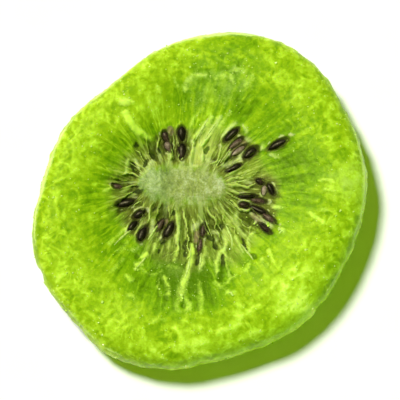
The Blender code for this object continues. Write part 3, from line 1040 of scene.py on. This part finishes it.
def strewn_grains(mesh, draw):
    """Places, directions and sizes of the fine grains, most of them on lumps of the shown face and rim."""
    mesh.calc_loop_triangles()
    count = len(mesh.loop_triangles)
    corners = np.empty(count * 3, np.int32)
    mesh.loop_triangles.foreach_get("vertices", corners)
    corners = corners.reshape(-1, 3)
    points = vertex_array(mesh, "co") / MM
    grain = np.empty(len(points), np.float32)
    mesh.attributes["grain"].data.foreach_get("value", grain)
    a, b, c = (points[corners[:, i]] for i in range(3))
    cross = np.cross(b - a, c - a)
    area = np.linalg.norm(cross, axis=1)
    normal = cross / np.maximum(area, 1e-12)[:, None]
    weight = area * (0.25 + 0.75 * smooth_step(-0.3, 0.3, normal[:, 2])) * (a[:, 2] > LOWEST_GRAIN)
    weight *= 0.15 + smooth_step(0.0, 0.4, grain[corners[:, 0]])
    weight *= smooth_step(POCKET_END - 0.2, POCKET_END + 0.2, round_core((a + b + c) / 3)[0])
    picks = draw.choice(count, GRAINS, p=weight / weight.sum())
    u, v = draw.random(GRAINS), draw.random(GRAINS)
    flip = u + v > 1
    u[flip], v[flip] = 1 - u[flip], 1 - v[flip]
    places = a[picks] + u[:, None] * (b - a)[picks] + v[:, None] * (c - a)[picks]
    sizes = GRAIN_SIZE * np.exp(draw.normal(0, GRAIN_SPREAD, GRAINS))
    return [(Vector(place), Vector(up), size) for place, up, size in zip(places, normal[picks], sizes)]


def clump_grains(surface, draw):
    """Places, directions and sizes of the grains that lie in clumps."""
    laid = []
    for x, y in CLUMPS:
        for _ in range(CLUMP_GRAINS):
            place, up = surface.at(x + draw.normal(0, CLUMP_REACH), y + draw.normal(0, CLUMP_REACH))
            laid.append((place, up, CLUMP_GRAIN_SIZE * draw.uniform(0.5, 1.2)))
    return laid


def make_sugar(flesh, surface):
    """Small uneven crystals, half sunk in the flesh."""
    draw = np.random.default_rng(91)
    sugar = Joined()
    for place, up, size in strewn_grains(flesh.data, draw) + clump_grains(surface, draw):
        shape = BOX_CORNERS * size * draw.uniform(0.6, 1.3, 3) * (1 + draw.uniform(-0.15, 0.15, (8, 3)))
        spin = Matrix.Rotation(draw.uniform(0, 2 * math.pi), 3, Vector(draw.normal(size=3)).normalized())
        sugar.add(shape @ np.array(spin) + np.array(place + up * size * 0.25), BOX_SIDES)
    return add_object("kiwi_sugar", sugar.mesh("kiwi_sugar"))


class Nodes:
    """A material's node tree, built a node at a time."""

    def __init__(self, name):
        self.material = bpy.data.materials.new(name)
        self.material.use_nodes = True
        self.tree = self.material.node_tree
        self.shader = self.tree.nodes["Principled BSDF"]

    def put(self, socket, value):
        if isinstance(value, bpy.types.NodeSocket):
            self.tree.links.new(value, socket)
        else:
            socket.default_value = (*value, 1.0) if socket.type == "RGBA" else value

    def add(self, kind, inputs=(), **settings):
        node = self.tree.nodes.new(kind)
        for name, value in settings.items():
            setattr(node, name, value)
        for name, value in dict(inputs).items():
            self.put(node.inputs[name], value)
        return node

    def share(self, name):
        return self.add("ShaderNodeAttribute", attribute_name=name).outputs["Fac"]

    def place(self):
        return self.add("ShaderNodeTexCoord").outputs["Object"]

    def ray_place(self, around, outwards):
        """A place that is drawn out along the fruit's rays."""
        place = self.add("ShaderNodeAttribute", attribute_name="ray_place").outputs["Vector"]
        inputs = {0: place, 1: (around, around, outwards)}
        return self.add("ShaderNodeVectorMath", inputs, operation="MULTIPLY").outputs[0]

    def math(self, first, operation, second):
        return self.add("ShaderNodeMath", {0: first, 1: second}, operation=operation).outputs[0]

    def sum(self, value, *parts):
        """value plus each part times its weight. parts lists (part, weight)."""
        for part, weight in parts:
            value = self.math(self.math(part, "MULTIPLY", weight), "ADD", value)
        return value

    def step(self, value, low, high, start=0.0, end=1.0):
        """start below low, end above high, and an S-shaped way between them."""
        inputs = {"Value": value, "From Min": low, "From Max": high, "To Min": start, "To Max": end}
        return self.add("ShaderNodeMapRange", inputs, interpolation_type="SMOOTHSTEP").outputs["Result"]

    def blend(self, share, first, second):
        """The first number where the share is 0, the second where it is 1."""
        inputs = {"Value": share, "To Min": first, "To Max": second}
        return self.add("ShaderNodeMapRange", inputs).outputs["Result"]

    def mix(self, share, first, second):
        """The first colour where the share is 0, the second where it is 1."""
        node = self.add("ShaderNodeMix", data_type="RGBA")
        for name, value in (("Factor", share), ("A", first), ("B", second)):
            self.put(node.inputs[name], value)
        return node.outputs["Result"]

    def fleck(self, value, low, high, first, second):
        """The first colour where the value is low, the second where it is high."""
        return self.mix(self.step(value, low, high), first, second)

    def ramp(self, value, stops):
        """The colour at this value, between the colours that stops lists as (value, colour)."""
        node = self.add("ShaderNodeValToRGB", {"Fac": value})
        elements = node.color_ramp.elements
        while len(elements) < len(stops):
            elements.new(1.0)
        for element, (position, tint) in zip(elements, stops):
            element.position = position
            element.color = (*tint, 1.0)
        return node.outputs["Color"]

    def noise(self, size, detail=2.0, roughness=0.5, distortion=0.0):
        """Noise from 0 to 1, with bumps about size millimetres apart."""
        inputs = {"Vector": self.place(), "Scale": 1 / (size * MM), "Detail": detail}
        inputs |= {"Roughness": roughness, "Distortion": distortion}
        return self.add("ShaderNodeTexNoise", inputs).outputs["Fac"]

    def ray_noise(self, around, outwards, detail):
        """Noise from -0.5 to 0.5, drawn out along the fruit's rays."""
        inputs = {"Vector": self.ray_place(around, outwards), "Scale": 1.0, "Detail": detail}
        noise = self.add("ShaderNodeTexNoise", inputs | {"Roughness": 0.6})
        return self.math(noise.outputs["Fac"], "SUBTRACT", 0.5)

    def squiggles(self, place, scale, width, pick):
        """Short curly strokes, 1 along their middles and 0 between them. Each pick makes other strokes."""
        def noise_of(**inputs):
            inputs |= {"Vector": place, "Detail": 1.0}
            return self.add("ShaderNodeTexNoise", inputs, noise_dimensions="4D").outputs["Fac"]

        curls = noise_of(Scale=scale, Distortion=1.0, W=pick)
        breaks = noise_of(Scale=0.8 * scale, W=pick + 5.0)
        away = self.math(self.math(curls, "SUBTRACT", 0.5), "ABSOLUTE", 0.0)
        return self.math(self.step(away, width, 0.25 * width), "MULTIPLY", self.step(breaks, 0.44, 0.56))

    def coat(self, base, share, amount, tint):
        """base with tint over it by this amount, and none of it where the share is 0."""
        return self.mix(self.math(amount, "MULTIPLY", self.step(share, 0.0, 0.15)), base, tint)

    def finish(self, tint, roughness, bumps=(), **constants):
        """Ties the colour, roughness and bumps to the shader. bumps lists (height, strength, distance)."""
        normal = None
        for height, strength, distance in bumps:
            inputs = {"Height": height, "Strength": strength, "Distance": distance * MM}
            if normal:
                inputs["Normal"] = normal
            normal = self.add("ShaderNodeBump", inputs).outputs["Normal"]
        self.put(self.shader.inputs["Base Color"], tint)
        self.put(self.shader.inputs["Roughness"], roughness)
        if normal:
            self.put(self.shader.inputs["Normal"], normal)
        for name, value in constants.items():
            self.put(self.shader.inputs[name.replace("_", " ")], value)
        return self.material


FLESH_TONES = (
    (0.00, (0.080, 0.185, 0.001)),
    (0.28, (0.170, 0.343, 0.003)),
    (0.50, (0.305, 0.490, 0.006)),
    (0.72, (0.455, 0.690, 0.028)),
    (1.00, (0.690, 0.930, 0.125)),
)
COOL_CORE_TONES = (
    (0.00, (0.105, 0.170, 0.035)),
    (0.45, (0.250, 0.335, 0.105)),
    (1.00, (0.520, 0.620, 0.310)),
)
WARM_CORE_TONES = (
    (0.00, (0.135, 0.175, 0.030)),
    (0.45, (0.290, 0.350, 0.096)),
    (1.00, (0.600, 0.660, 0.400)),
)
POCKET_OLIVE = (0.045, 0.062, 0.005)
WALL_PALE = (0.440, 0.550, 0.125)
STRAND_GREEN = (0.620, 0.870, 0.090)
STRAND_CREAM = (0.540, 0.640, 0.230)
DEEP_GREEN = (0.022, 0.036, 0.005)
DEEP_LEAF_GREEN = (0.070, 0.165, 0.001)

# Coats of colour on the flesh, in the order that they lie: the share that a coat follows, how much the fine
# detail and the rays wear it, where it starts and where it is full, how much it covers there, and its
# colour, which is None where flesh_material mixes it.
LOWER_COATS = (
    ("frost", 0.6, 0, 0.0, 1.0, 0.6, (0.450, 0.640, 0.110)),
    ("murk", 0.5, 0, 0.0, 1.0, 0.75, (0.170, 0.220, 0.026)),
    ("halo", 0.4, 0, 0.1, 1.0, 0.7, (0.180, 0.205, 0.034)),
    ("crowd", 0.5, -0.6, 0.1, 1.0, 0.85, (0.085, 0.090, 0.014)),
    ("clearing", 0.4, 1.0, 0.2, 0.9, 0.8, (0.480, 0.560, 0.120)),
)
UPPER_COATS = (
    ("pocket", 0.5, -0.8, 0.1, 0.8, 0.9, POCKET_OLIVE),
    ("wall", 0.6, 0.8, 0.1, 0.9, 0.85, WALL_PALE),
    ("core", 0, 0.9, 0.1, 0.9, 1.0, None),
    # Pale ring round the seeds: partly pale flesh, partly a painted glint.
    ("sleeve_and_glint", 0.8, 0, 0.2, 0.8, 0.8, (0.520, 0.580, 0.220)),
    ("spokes", 0, 0.5, 0.1, 1.0, 0.8, (0.400, 0.500, 0.140)),
    ("husk", 0.6, 0, 0.1, 0.9, 0.8, (0.230, 0.180, 0.085)),
    ("strand", 0.6, 0.3, 0.05, 1.05, 0.85, None),
    ("deep", 0.6, 0, 0.1, 0.85, 0.9, None),
    ("stain", 0.6, 0, 0.15, 0.95, 0.85, (0.026, 0.024, 0.007)),
    # Painted rim highlight: the raised edge is coated pale.
    ("lip_and_rim_light", 0.5, 0, 0.05, 0.80, 0.85, (0.690, 0.890, 0.240)),
)
# Dark and pale rays in the murk: the ray noise where they start and where they are full, how much they
# cover, and their colour
RAY_COATS = (
    (-0.02, -0.16, 0.65, POCKET_OLIVE),
    (0.02, 0.16, 0.63, WALL_PALE),
)
# Curly strokes of the rim, pale, small pale and dark: their size in millimetres, width and pick
CURLS = ((1.5, 0.13, 0.0), (1.1, 0.10, 10.0), (1.4, 0.13, 20.0))
DASH_GRID = (9.0, 2.6)
DASH_WIDTH = 0.08


def flesh_strokes(nodes, streaky):
    """Pale and dark strokes, curly on the rim and drawn out along the rays where the flesh is streaky."""
    curls, small_curls, dark_curls = (
        nodes.squiggles(nodes.place(), 1 / (size * MM), width, pick) for size, width, pick in CURLS
    )
    place = nodes.ray_place(*DASH_GRID)
    dashes, dark_dashes = (nodes.squiggles(place, 1.0, DASH_WIDTH, pick) for pick in (30.0, 40.0))
    curls = nodes.math(curls, "MAXIMUM", nodes.math(small_curls, "MULTIPLY", 0.4))
    return nodes.blend(streaky, curls, dashes), nodes.blend(streaky, dark_curls, dark_dashes)


def worn_coats(nodes, base, coats, detail, ray, mixed):
    """base with these coats over it. Where a coat has no colour of its own, mixed holds it."""
    for name, detail_wear, ray_wear, low, high, most, tint in coats:
        share = nodes.share(name)
        parts = [part for part in ((detail, detail_wear), (ray, ray_wear)) if part[1]]
        amount = nodes.step(nodes.sum(share, *parts), low, high, 0.0, most)
        base = nodes.coat(base, share, amount, tint or mixed[name])
    return base


def flesh_material():
    nodes = Nodes("kiwi_flesh")
    medium = nodes.noise(0.7, 3.0, 0.6, 0.6)
    fine = nodes.noise(0.25, 2.0, 0.6, 0.4)
    detail = nodes.math(nodes.math(medium, "ADD", fine), "SUBTRACT", 1.0)
    ray = nodes.math(nodes.ray_noise(22.0, 4.0, 3.0), "MULTIPLY", 0.9)
    ray = nodes.sum(ray, (nodes.ray_noise(10.0, 1.6, 2.0), 0.55))
    streaky = nodes.share("streaky")
    streak = nodes.math(nodes.step(ray, -0.16, 0.16, -0.5, 0.5), "MULTIPLY", streaky)
    strokes, dark_strokes = flesh_strokes(nodes, streaky)
    tone = nodes.sum(nodes.share("tone"), (nodes.share("grain"), 0.50), (detail, 0.25))
    tone = nodes.sum(tone, (streak, 0.22), (strokes, 0.16), (dark_strokes, -0.10))
    base = nodes.ramp(tone, FLESH_TONES)

    core_tone = nodes.sum(nodes.share("core_tone"), (detail, 0.85))
    cool, warm = nodes.ramp(core_tone, COOL_CORE_TONES), nodes.ramp(core_tone, WARM_CORE_TONES)
    murk = nodes.share("murk")
    mixed = {
        "core": nodes.mix(nodes.share("warmth"), cool, warm),
        "strand": nodes.mix(nodes.share("cream"), STRAND_GREEN, STRAND_CREAM),
        "deep": nodes.fleck(murk, 0.0, 0.4, DEEP_LEAF_GREEN, DEEP_GREEN),
    }
    base = worn_coats(nodes, base, LOWER_COATS, detail, ray, mixed)
    for low, high, most, tint in RAY_COATS:
        amount = nodes.math(nodes.step(ray, low, high), "MULTIPLY", murk)
        base = nodes.mix(nodes.math(amount, "MULTIPLY", most), base, tint)
    base = worn_coats(nodes, base, UPPER_COATS, detail, ray, mixed)
    return nodes.finish(
        base,
        nodes.step(detail, -0.3, 0.3, 0.28, 0.48),
        [(medium, 0.28, 0.20), (fine, 0.3, 0.08), (strokes, 0.25, 0.08)],
        Subsurface_Weight=0.6,
        Subsurface_Radius=(0.7, 1.0, 0.15),
        Subsurface_Scale=0.5 * MM,
        Specular_IOR_Level=0.15,
        Specular_Tint=(0.75, 1.0, 0.15),
    )


def seed_material():
    nodes = Nodes("kiwi_seeds")
    fine = nodes.noise(0.18, 2.0, 0.6)
    coarse = nodes.noise(0.9, 2.0, 0.5)
    skin = nodes.sum(nodes.share("skin"), (coarse, 0.6), (0.22, -1.0))
    black = nodes.fleck(fine, 0.3, 0.8, (0.003, 0.003, 0.001), (0.014, 0.010, 0.006))
    brown = nodes.fleck(fine, 0.3, 0.7, (0.028, 0.017, 0.010), (0.105, 0.064, 0.042))
    beige = nodes.fleck(fine, 0.3, 0.7, (0.200, 0.150, 0.100), (0.380, 0.310, 0.210))
    base = nodes.fleck(skin, 0.75, 1.1, nodes.fleck(skin, 0.3, 0.75, black, brown), beige)
    roughness = nodes.step(fine, 0.2, 0.8, 0.28, 0.5)
    sheen = (1.0, 0.92, 0.50)
    return nodes.finish(base, roughness, [(fine, 0.4, 0.06)], Specular_IOR_Level=0.22, Specular_Tint=sheen)


def fibre_material():
    nodes = Nodes("kiwi_fibres")
    fine = nodes.noise(0.3, 2.0, 0.6)
    dull = nodes.fleck(fine, 0.3, 0.7, (0.190, 0.270, 0.026), (0.380, 0.500, 0.095))
    bright = nodes.fleck(fine, 0.3, 0.7, (0.420, 0.600, 0.080), (0.660, 0.840, 0.230))
    return nodes.finish(
        nodes.mix(nodes.share("pale"), dull, bright),
        nodes.step(fine, 0.2, 0.8, 0.35, 0.6),
        [(fine, 0.4, 0.08)],
        Subsurface_Weight=0.3,
        Subsurface_Radius=(0.6, 1.0, 0.2),
        Subsurface_Scale=0.3 * MM,
        Specular_IOR_Level=0.25,
    )


def sugar_material():
    nodes = Nodes("kiwi_sugar")
    coarse = nodes.noise(1.5, 2.0, 0.5)
    return nodes.finish(
        nodes.fleck(coarse, 0.35, 0.65, (0.480, 0.740, 0.060), (0.680, 0.880, 0.240)),
        nodes.step(coarse, 0.2, 0.8, 0.15, 0.3),
        Subsurface_Weight=0.3,
        Subsurface_Radius=(0.6, 1.0, 0.3),
        Subsurface_Scale=0.2 * MM,
        Specular_IOR_Level=0.3,
    )


def floor_material():
    nodes = Nodes("studio_floor")
    grain = nodes.noise(6.0, 3.0, 0.5)
    base = nodes.fleck(grain, 0.3, 0.7, (0.91, 0.91, 0.91), (0.93, 0.93, 0.93))
    return nodes.finish(base, nodes.step(grain, 0.2, 0.8, 0.8, 0.9), Specular_IOR_Level=0.0)


def make_floor():
    shape = bmesh.new()
    bmesh.ops.create_grid(shape, x_segments=1, y_segments=1, size=FLOOR_REACH)
    mesh = bpy.data.meshes.new("studio_floor")
    shape.to_mesh(mesh)
    shape.free()
    mesh.materials.append(floor_material())
    floor = add_object("studio_floor", mesh)


def face_along(obj, direction):
    """Turns a light or a camera to look in this direction."""
    obj.rotation_euler = direction.to_track_quat("-Z", "Y").to_euler()


def add_light(name, kind, place, energy, tint, **settings):
    """A light at this place, pointed at the origin."""
    light = bpy.data.lights.new(name, kind)
    light.energy = energy
    light.color = tint
    for setting, value in settings.items():
        setattr(light, setting, value)
    obj = add_object(name, light)
    obj.location = place
    face_along(obj, -Vector(place))


def light_world():
    """A pale surround: dim as a light, and white where it is seen behind the floor."""
    world = bpy.data.worlds.new("studio")
    world.use_nodes = True
    tree = world.node_tree
    path = tree.nodes.new("ShaderNodeLightPath")
    tint = tree.nodes.new("ShaderNodeMix")
    tint.data_type = "RGBA"
    tint.inputs["A"].default_value = (*SURROUND_LIGHT, 1.0)
    tint.inputs["B"].default_value = (1.0, 1.0, 1.0, 1.0)
    tree.links.new(path.outputs["Is Camera Ray"], tint.inputs["Factor"])
    tree.links.new(tint.outputs["Result"], tree.nodes["Background"].inputs["Color"])
    bpy.context.scene.world = world


def light_scene():
    add_light("key", "SUN", KEY_PLACE, KEY_ENERGY, KEY_TINT, angle=KEY_ANGLE)
    glow = {"spot_size": GLOW_CONE, "spot_blend": 1.0, "shadow_soft_size": GLOW_SIZE}
    add_light("glow", "SPOT", GLOW_PLACE, GLOW_ENERGY, GLOW_TINT, **glow)
    light_world()
    bpy.context.scene.view_settings.view_transform = "Standard"


def add_camera():
    low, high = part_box(NODE)
    middle = (low + high) / 2
    wide = (high - low).x / SHARE_OF_FRAME
    data = bpy.data.cameras.new("camera")
    data.sensor_width = SENSOR_WIDTH
    data.lens = SENSOR_WIDTH * CAMERA_DISTANCE / wide
    data.clip_start = NEAREST_SEEN
    camera = add_object("camera", data)
    back = Vector((0, -math.cos(CAMERA_ELEVATION), math.sin(CAMERA_ELEVATION)))
    camera.location = middle + back * CAMERA_DISTANCE
    face_along(camera, -back)
    bpy.context.scene.camera = camera


def dress(obj, material):
    obj.data.materials.clear()
    obj.data.materials.append(material)
    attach(obj, BODY)


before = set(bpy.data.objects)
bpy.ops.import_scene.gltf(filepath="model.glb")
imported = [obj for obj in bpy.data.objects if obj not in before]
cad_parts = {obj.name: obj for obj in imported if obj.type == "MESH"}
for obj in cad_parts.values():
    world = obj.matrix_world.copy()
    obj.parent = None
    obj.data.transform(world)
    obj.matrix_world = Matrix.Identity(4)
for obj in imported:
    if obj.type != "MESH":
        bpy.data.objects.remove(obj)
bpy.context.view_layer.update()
add_camera()
light_scene()
make_floor()
strewn = underside_seed_places()
kiwi_flesh = make_flesh(strewn)
flesh_surface = Surface(kiwi_flesh)
dress(kiwi_flesh, flesh_material())
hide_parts(NODE)
dress(make_seeds(flesh_surface, strewn), seed_material())
dress(make_fibres(flesh_surface), fibre_material())
dress(make_sugar(kiwi_flesh, flesh_surface), sugar_material())
